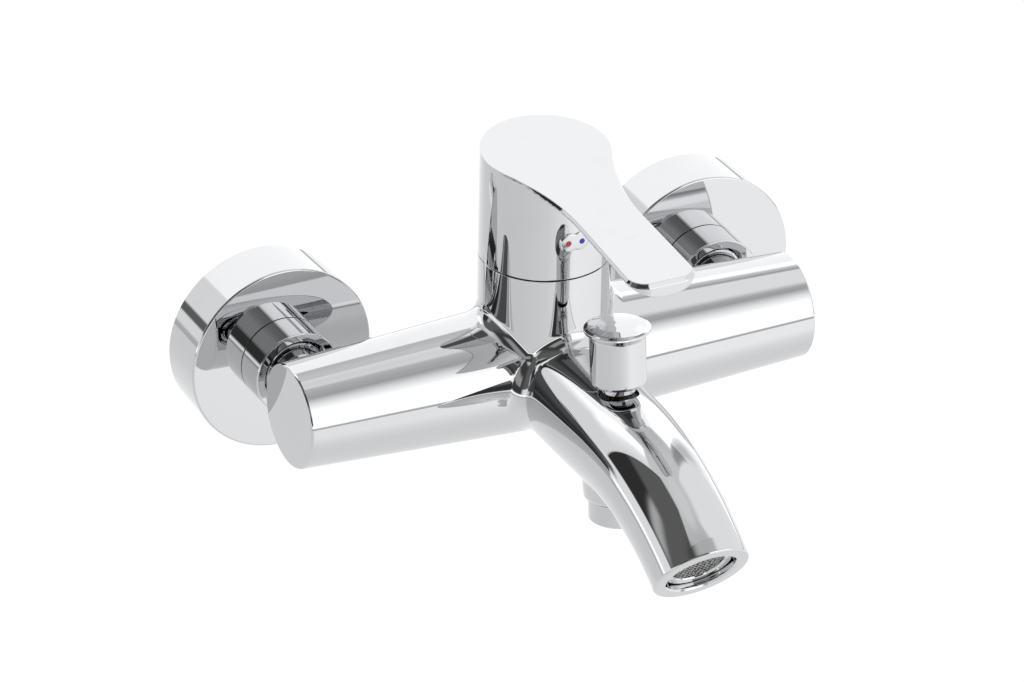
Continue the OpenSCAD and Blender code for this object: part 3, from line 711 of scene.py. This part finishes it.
# %% The handle's skin, its sloping top and its skirt
grid = 0.46
low, high = (-22.5, axis_y - 88, skirt_z - 1), (22.5, axis_y + 22.5, top_z + 3)
points, faces = skin(handle_shape, low, high, grid)
top_n = np.array([0, -math.sin(slope), math.cos(slope)])
top_at = np.array([0, axis_y, top_z])
top_edge, lift = 0.2, math.radians(30)
relief = np.array([0, math.sin(lift), -math.cos(lift)])
relief_at = np.array([0, axis_y + 9.6, skirt_z])
points, faces = cut(points, faces, [
    (top_at - top_n * top_edge, top_n), ((0, 0, skirt_z + 0.4), (0, 0, -1)),
    (relief_at - relief * 0.4, relief)])
loops = open_loops(faces)
print("handle edges:", [len(loop) for loop in loops])
normals = gradient(handle_shape, points)

upper = loop_near(points, loops, top_at)
sideways = unit(normals[upper] - np.outer(normals[upper] @ top_n, top_n))
rings = [(points[upper], sideways)]
for a in np.radians([15, 30, 45, 60, 75, 90]):
    move = top_edge * (sideways * (math.cos(a) - 1) + top_n * math.sin(a))
    rings.append((points[upper] + move, sideways * math.cos(a) + top_n * math.sin(a)))
top_patch = strips(rings)
lid = rings[-1][0]
lid_patch = (lid, [list(range(len(lid)))], np.tile(top_n, (len(lid), 1)))

# %% The skirt's lip and the hollow inside the handle
lower = loop_near(points, loops, np.array([0, axis_y, skirt_z + 2]))
foot = points[lower]
rays = unit(foot - [0, axis_y, 0] - np.outer(foot[:, 2], up))


def lip(radius, rise):
    """A ring of the lip: level in front, and on the slope of the relief at the back."""
    at = np.array([0, axis_y, 0]) + rays * radius
    at[:, 2] = skirt_z + rise + np.maximum((at[:, 1] - axis_y - 9.6) * math.tan(lift), 0)
    down = np.where((at[:, 1] > axis_y + 9.6)[:, None], relief, -up)
    return at, down

inside = [(foot, rays)]
for a in np.radians([30, 60, 90]):
    at, down = lip(21.3 - 0.4 * (1 - math.cos(a)), 0.4 * (1 - math.sin(a)))
    inside.append((at, rays * math.cos(a) + down * math.sin(a)))
at, down = lip(18.8, 0)
inside += [(at, down), (at, -rays)]
ceiling = np.array([0, axis_y, 60.0]) + rays * 18.8
inside += [(ceiling, -rays), (ceiling, rays * 0 - up), (ceiling - rays * 18.8, rays * 0 - up)]
put_mesh("lever_handle", [(points, faces, normals), top_patch, lid_patch, strips(inside)],
         chrome, "lever", "handle", slot="chrome")

# %% [markdown]
# ## Turned pieces
# Wall flanges, union nuts, inlet tails, the diverter's knob and the hose nipple are all turned.
# Their profiles below start at the inner bottom and run round with the metal on the left.

# %% Wall flanges, union nuts and inlet tails
toward = np.array([0.0, -1, 0])
for s, side in ((-1, "left"), (1, "right")):
    low, high = (np.array(c) * 1000 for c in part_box("wall_flange_" + side))
    x, z = (low[0] + high[0]) / 2, (low[2] + high[2]) / 2
    wall_at = np.array([x, 0, z])
    put_mesh("flange_" + side, [lathe([
        (28.4, 0.0), (30.7, 0.0, 0.3), (31.4, 19.6, 0.7), (12.64, 19.6, 0.3), (12.64, 17.8), (29.8, 17.8)],
        wall_at, toward, 200)], chrome, "mixer", "wall_flange_" + side, slot="chrome")
    put_mesh("nut_" + side, [lathe([
        (11.0, 19.85), (14.4, 19.85, 0.08), (14.4, 31.4, 0.5), (11.7, 31.4, 0.2), (10.35, 30.1, 0.2),
        (10.35, 29.0)],
        wall_at, toward, 128)], chrome, "mixer", "union_nut_" + side, slot="chrome")
    put_mesh("tail_" + side, [lathe([
        (6.5, 26.0), (10.2, 26.0), (10.2, 29.0, 0.2), (9.16, 29.2, 0.2), (9.16, 47.2), (6.5, 47.2)],
        wall_at, toward, 96)], chrome, "mixer", "inlet_tail_" + side, slot="chrome")

# %% The diverter's knob
put_mesh("knob", [lathe([
    (2.3, 18.6), (2.3, 15.7), (5.4, 15.7, 0.35), (5.7, 18.6, 0.1), (8.4, 18.65, 0.5), (8.85, 19.7, 0.6),
    (9.05, 35.1, 1.5), (10.78, 36.9, 0.2), (10.72, 37.6, 0.25), (9.6, 38.1, 3.0), (6.4, 38.8, 8.0),
    (3.2, 39.2, 8.0), (0.0, 39.3)],
    valve_zero, pull, 160, closed=False, steps=6)], chrome, "diverter", "diverter_knob", slot="chrome")

# %% The hose nipple under the spout, and the bonnet in the recess
put_mesh("nipple", [lathe([
    (7.4, -28.1, 0.2), (9.9, -28.1, 0.3), (10.48, -27.5, 0.2), (10.48, -20.6, 0.2), (8.4, -20.6),
    (8.4, -19.6), (9.5, -19.6), (9.5, -12.4), (4.6, -12.4), (4.6, -16.0), (7.4, -16.0)],
    valve_zero, pull, 128)], chrome, "mixer", "hose_nipple", slot="chrome")
put_mesh("bonnet", [lathe([
    (2.75, 6.0), (6.4, 6.0), (6.4, 13.3, 0.25), (4.1, 13.5, 0.15), (3.9, 13.1, 0.1), (2.75, 13.1)],
    valve_zero, pull, 96)], dark_bush, "mixer", "diverter_bonnet", slot="black_plastic")

# %% The aerator's ring in the mouth
put_mesh("aerator_ring", [lathe([
    (8.3, -10.6), (11.4, -10.6), (11.4, -4.2), (10.9, -4.2), (10.9, -2.3, 0.35), (8.7, -2.3, 0.5),
    (8.3, -2.9, 0.3)],
    mouth, mouth_out, 144)], chrome, "mixer", "aerator_shell", slot="chrome")

# %% [markdown]
# ## The temperature plug
# A small plug with two round lobes hides the handle's set screw and carries the two dots, red for
# hot and blue for cold. Its outline is two circles led into each other; we find it ray by ray, then
# give it a wall, a soft edge and a slightly domed face.

# %% The two-lobed plug
plug_low, plug_high = (np.array(c) * 1000 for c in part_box("index_plug"))
plug_at = np.array([0, plug_low[1], (plug_low[2] + plug_high[2]) / 2])


def lobes(p):
    pair = []
    for s in (-1, 1):
        d = p - (plug_at + [s * 1.8, 0, 0])
        d = d * [1, 0, 1]
        r = np.maximum(np.linalg.norm(d, axis=-1), 1e-6)
        pair.append((r - 3.42, d / r[..., None]))
    return joined(pair[0], pair[1], 1.0)[0]

angles = np.arange(160) * 2 * math.pi / 160
rays = np.stack([np.sin(angles), 0 * angles, np.cos(angles)], 1)[::-1]
reach = np.full(len(rays), 4.0)
for _ in range(30):
    reach = reach - lobes(plug_at + rays * reach[:, None])
outline = plug_at + rays * reach[:, None]
sideways = unit(gradient(lobes, outline) * [1, 0, 1])
soft, dome = 1.0, 0.16
rings = [(outline - toward * 6, sideways), (outline - toward * (soft + dome), sideways)]
for a in np.radians([12, 24, 36, 48, 60, 72, 84]):
    move = soft * (sideways * (math.cos(a) - 1) + toward * math.sin(a))
    rings.append((outline - toward * (soft + dome) + move, sideways * math.cos(a) + toward * math.sin(a)))
shoulder = rings[-1][0]
for share in (0.8, 0.6, 0.4, 0.2):
    rings.append((plug_at * [1, 0, 1] + (shoulder - plug_at) * [share, 0, share] + [0, 1, 0] * shoulder
                  + toward * dome * (1 - share ** 2), unit(sideways * 0.1 * share + toward)))
face = rings[-1][0]
print("plug front at y", round(plug_low[1], 2))
put_mesh("index_plug_cap", [strips(rings), (face, [list(range(len(face)))], np.tile(toward, (len(face), 1)))],
         chrome, "lever", "index_plug", slot="chrome")

# %% The red and the blue dot
def enamel(color):
    def build(n):
        where = n.add("ShaderNodeTexCoord", output=3)
        cloud = n.add("ShaderNodeTexNoise", {}, {"Vector": where, "Scale": 900.0, "Detail": 2.0})
        deep = tuple(c * 0.7 for c in color)
        return n.add("ShaderNodeBsdfPrincipled", {}, {
            "Base Color": n.mix(cloud.ramp(0.35, 0.7), (*color, 1), (*deep, 1)),
            "Roughness": cloud * 0.1 + 0.25})
    return build

dot_profile = [(0.95, -0.4), (0.95, 0.03, 0.06), (0.6, 0.07, 0.3), (0.0, 0.08)]
for x, node, slot_name, color in ((-2.35, "red_dot", "red_mark", (0.55, 0.03, 0.03)),
                                  (2.35, "blue_dot", "blue_mark", (0.03, 0.05, 0.5))):
    put_mesh(node + "_enamel", [lathe(dot_profile, plug_at + [x, 0, 0], toward, 40, closed=False)],
             material(slot_name, enamel(color)), "lever", node, slot=slot_name)

# %% [markdown]
# ## The aerator's wire mesh
# Water leaves through layers of woven steel wire. Wires repeat, so Geometry Nodes make them: a row
# of points, a thin wire on each that is as long as the circle's chord there, a little noise because
# real wires wander, and copies of the row turned for each layer.

# %% The wire tree
def wire_tree(finish):
    tree = bpy.data.node_groups.new("wire mesh", "GeometryNodeTree")
    face = tree.interface
    for name, kind, value in (("Radius", "NodeSocketFloat", 1.0), ("Pitch", "NodeSocketFloat", 0.1),
                              ("Wire", "NodeSocketFloat", 0.01), ("Wander", "NodeSocketFloat", 0.02),
                              ("Seed", "NodeSocketInt", 7)):
        face.new_socket(name, in_out="INPUT", socket_type=kind).default_value = value
    face.new_socket("Geometry", in_out="OUTPUT", socket_type="NodeSocketGeometry")
    g = Nodes(tree)
    radius, pitch, wire, wander, seed = (g.add("NodeGroupInput", output=i) for i in range(5))
    count = (radius * 2 / pitch).math("FLOOR")
    row = g.add("GeometryNodeMeshLine", {}, {
        "Count": count, "Start Location": (0, 0, 0), "Offset": (1, 0, 0)})
    index = g.add("GeometryNodeInputIndex")
    across = (index - count * 0.5 + 0.5) * pitch
    chord = ((radius * radius - across * across).math("MAXIMUM", 0.0)).math("SQRT")
    place = g.add("ShaderNodeCombineXYZ", {}, [across, 0.0, 0.0])
    row = g.add("GeometryNodeSetPosition", {}, {"Geometry": row, "Position": place})
    rod = g.add("GeometryNodeMeshCylinder", {"fill_type": "NONE"}, {
        "Vertices": 6, "Side Segments": 30, "Radius": wire, "Depth": 2.0})
    size = g.add("ShaderNodeCombineXYZ", {}, [1.0, 1.0, chord])
    rods = g.add("GeometryNodeInstanceOnPoints", {}, {
        "Points": row, "Instance": rod, "Rotation": (math.pi / 2, 0, 0), "Scale": size})
    both = g.tree.nodes.new("GeometryNodeJoinGeometry")
    for turn, height in ((0.0, 0.0), (90.0, 0.3), (35.0, -0.5), (125.0, -0.8)):
        lift = g.add("ShaderNodeCombineXYZ", {}, [0.0, 0.0, wire * height * 4])
        layer = g.add("GeometryNodeTransform", {}, {
            "Geometry": rods, "Translation": lift, "Rotation": (0, 0, math.radians(turn))})
        tree.links.new(layer.link, both.inputs[0])
    solid = g.add("GeometryNodeRealizeInstances", {}, {"Geometry": Socket(g, both.outputs[0])})
    here = g.add("GeometryNodeInputPosition")
    noise = g.tree.nodes.new("ShaderNodeTexNoise")
    noise.noise_dimensions = "4D"
    noise.inputs["Scale"].default_value = 900.0
    tree.links.new(here.link, noise.inputs["Vector"])
    tree.links.new(seed.link, noise.inputs["W"])
    centred = [Socket(g, noise.outputs["Color"]), (0.5, 0.5, 0.5)]
    drift = g.add("ShaderNodeVectorMath", {"operation": "SUBTRACT"}, centred)
    drift = g.add("ShaderNodeVectorMath", {"operation": "SCALE"}, {0: drift, "Scale": wander})
    bent = g.add("GeometryNodeSetPosition", {}, {"Geometry": solid, "Offset": drift})
    smooth = g.add("GeometryNodeSetShadeSmooth", {}, {"Geometry": bent})
    done = g.add("GeometryNodeSetMaterial", {}, {"Geometry": smooth, "Material": finish})
    g.add("NodeGroupOutput", {}, [done])
    return tree

# %% Weave it, and set it in the mouth
def grown(name, tree, values, place, body, *stands_for, slot):
    """Runs a Geometry Nodes tree and keeps its result as a plain mesh in place."""
    base = bpy.data.objects.new(name + "_maker", bpy.data.meshes.new(name))
    bpy.context.scene.collection.objects.link(base)
    maker = base.modifiers.new("maker", "NODES")
    maker.node_group = tree
    sockets = {s.name: s.identifier for s in tree.interface.items_tree if s.in_out == "INPUT"}
    for key, value in values.items():
        maker[sockets[key]] = value
    graph = bpy.context.evaluated_depsgraph_get()
    mesh = bpy.data.meshes.new_from_object(base.evaluated_get(graph))
    base.modifiers.remove(maker)
    bpy.data.objects.remove(base)
    mesh.transform(place)
    placed(name, mesh, body, stands_for)


def stand(at, axis):
    """A matrix in metres that puts local Z along axis at a point in millimetres."""
    u, v, w = basis(axis)
    m = Matrix([[*row, 0] for row in np.stack([u, v, w], 1).tolist()] + [[0, 0, 0, 1]])
    m.translation = Vector(np.asarray(at) / 1000)
    return m

steel = material("stainless wire", metal_finish((0.4, 0.4, 0.4), 0.14, 0.15, 400.0))
weave = {"Radius": 0.00835, "Pitch": 0.00145, "Wire": 0.00016, "Wander": 0.0009, "Seed": 7}
grown("aerator_wires", wire_tree(steel), weave, stand(mouth - mouth_out * 3.3, mouth_out),
      "mixer", "aerator_mesh", slot="steel")

# %% [markdown]
# ## Finishes for the parts inside
# The CAD parts that stay are right in shape and mostly out of sight: washers, springs, ceramic
# discs and the cartridge. Each still gets a finish with its own grain, chosen by its slot.

# %% Plastics, rubber, ceramic and brass
slot_finish = {
    "chrome": chrome, "steel": steel,
    "brass": material("machined brass", metal_finish((0.72, 0.53, 0.24), 0.22, 0.2, 200.0)),
    "white_plastic": material("white moulding", moulded((0.8, 0.79, 0.75), 0.4, 900.0, 0.3)),
    "aerator_plastic": material("grey moulding", moulded((0.6, 0.6, 0.59), 0.4, 900.0, 0.3)),
    "black_plastic": dark_bush,
    "rubber": material("black rubber", moulded((0.02, 0.02, 0.021), 0.6, 1400.0, 0.6)),
    "ceramic": material("lapped ceramic", moulded((0.5, 0.2, 0.09), 0.25, 1800.0, 0.15))}
slot_of = {part["node"]: part["material_slot"] for part in frame["record"]["subparts"]}
for name, node in nodes.items():
    if not node.hide_render:
        finish = slot_finish[slot_of[name]]
        node.data.materials.clear()
        node.data.materials.append(finish)
print("parts inside:", sum(not n.hide_render for n in nodes.values()))

# %% [markdown]
# ## The studio
# Chrome shows the room, so the room is designed like a piece. A low white wall stands in front, a
# big panel behind, a light one on the right and a black flag on the left. Between them are greyer
# gaps. Each panel's edge becomes a line on the metal: sharp where the panel is near and hard, soft
# where it is diffused. Angles are in degrees: azimuth 0 is in front and 90 on the right.

# %% Window shapes for the panels
def window(v, a, b, c, d):
    """1 between b and c, with soft shoulders from a to b and from c to d."""
    return v.ramp(a, b) * (1 - v.ramp(c, d))


def laid(base, mask, level):
    """A panel of one level laid over what is already there."""
    return base * (1 - mask) + mask * level


def profile(n, value, stops, top):
    """A smooth curve through (position, level) stops; top is the highest level."""
    low, high = stops[0][0], stops[-1][0]
    marks = [((p - low) / (high - low), level / top) for p, level in stops]
    along = (value - low) / (high - low)
    return n.add("ShaderNodeValToRGB", {"stops": marks}, [along]) * top

# %% The floor, lit by a painted glow
floor_depth, floor_reach, in_degrees = -0.6, 3.5, 57.2958


def floor_painted_glow(n):
    where = n.add("ShaderNodeTexCoord", output=3)
    x, y = (n.add("ShaderNodeSeparateXYZ", {}, [where], output=i) for i in (0, 1))
    azimuth = x.math("ARCTAN2", 0 - y) * in_degrees
    far = (x * x + y * y).math("SQRT").ramp(0.35, 1.3)
    # Painted light: the floor glows by emission, brighter to the front right (azimuth 25 to 60), dimmer to the
    # left and back, and an even 0.92 under the mixer.
    painted_floor_light = profile(n, azimuth, [
        (-180, 1.0), (-165, 0.92), (-150, 0.84), (-100, 0.8), (-60, 0.82), (-20, 0.9), (5, 1.05),
        (25, 1.25), (60, 1.22), (100, 1.12), (135, 1.1), (180, 1.06)], 1.3)
    glow = painted_floor_light * far + (1 - far) * 0.92
    # The base colour is nearly black and has no specular, so the floor shows almost only this painted glow and
    # almost no shadow.
    return n.add("ShaderNodeBsdfPrincipled", {}, {
        "Base Color": (0.05, 0.05, 0.05, 1), "Roughness": 0.9, "Specular IOR Level": 0.0,
        "Emission Color": n.mix(far, (1.0, 1.0, 1.0, 1), (0.995, 1.0, 1.0, 1)), "Emission Strength": glow})

turns = np.arange(96) * 2 * math.pi / 96
rim_points = [(floor_reach * math.cos(t), floor_reach * math.sin(t), floor_depth) for t in turns]
floor_mesh = bpy.data.meshes.new("floor")
floor_mesh.from_pydata(rim_points, [], [list(range(96))])
floor_mesh.materials.append(material("floor with painted glow", floor_painted_glow))
floor = bpy.data.objects.new("floor", floor_mesh)
bpy.context.scene.collection.objects.link(floor)

# %% The tent of light round it
world = bpy.data.worlds.new("tent")
bpy.context.scene.world = world
world.use_nodes = True
w = Nodes(world.node_tree)
where = w.add("ShaderNodeTexCoord", output=0)
x, y, z = (w.add("ShaderNodeSeparateXYZ", {}, [where], output=i) for i in range(3))
azimuth = x.math("ARCTAN2", 0 - y) * in_degrees
height = z.math("ARCSINE") * in_degrees
over = z.math("ARCTAN2", 0 - y) * in_degrees
arch = profile(w, over, [
    (0, 1.65), (33, 1.6), (46, 1.1), (58, 0.53), (70, 0.62), (88, 0.82), (108, 0.84), (119, 0.74),
    (124, 0.74), (126, 1.4), (180, 1.4)], 1.7)
right = window(azimuth, 52, 68, 117, 119) * (1 - height.ramp(68, 78))
glow = laid(arch, right, 1.12)
seam = window(azimuth, 116, 121, 123, 128) * window(height, 2, 26, 52, 62)
glow = glow * (1 - seam * 0.45)
hot = window(azimuth, 126, 128, 141, 144) * window(height, 2, 8, 46, 52)
glow = laid(glow, hot, 1.75)
left_panel = window(azimuth, -160, -158, -130.5, -129.5) * (1 - height.ramp(63, 66))
left_level = profile(w, azimuth, [(-160, 1.7), (-148, 1.75), (-141, 1.25), (-130, 1.0)], 1.8)
left_level = laid(left_level, 1 - height.ramp(26, 36), 1.02)
glow = laid(glow, left_panel, left_level)
slope_x, slope_y = x.math("DIVIDE", z), y.math("DIVIDE", z)
past = slope_x + 0.24 + (0 - slope_y - 0.03).math("MAXIMUM", 0.0) * 0.85
flag = window(azimuth, -130.5, -129.5, -66, -50) * height.ramp(10, 14) * (1 - past.ramp(-0.03, 0.03))
deep = (1 - azimuth.ramp(-114, -109)) * (1 - height.ramp(38, 46))
streak = window(azimuth, -112, -107, -105, -97) * window(height, 12, 20, 34, 44)
glow = laid(glow, flag, 0.15 - deep * 0.11 + streak * 0.4)
low_left = window(azimuth, -136, -131, -70, -60) * window(height, -3, 0, 10, 14)
glow = laid(glow, low_left, 1.1)
low_gap = window(azimuth, -152, -147, -129, -126) * window(height, 1, 3, 7, 9)
glow = glow * (1 - low_gap * 0.85)
front_light = window(azimuth, -52, -38, 2, 12) * window(height, 14, 20, 32, 44)
dark_side = window(azimuth, -78, -55, 6, 15) * window(height, -4, 1, 58, 70)
glow = laid(glow, dark_side, 0.06 + front_light * 0.34)
line = window(height, -10.5, -9.5, -7.5, -4.5)
glow = laid(glow, line, 0.6)
glow = laid(glow, height.ramp(76, 84), 0.9)
end = world.node_tree.nodes.new("ShaderNodeOutputWorld")
shine = w.add("ShaderNodeBackground", {}, {"Color": (1, 1, 1, 1), "Strength": glow})
world.node_tree.links.new(shine.link, end.inputs["Surface"])
bpy.context.scene.view_settings.view_transform = "Standard"
print("tent ready")
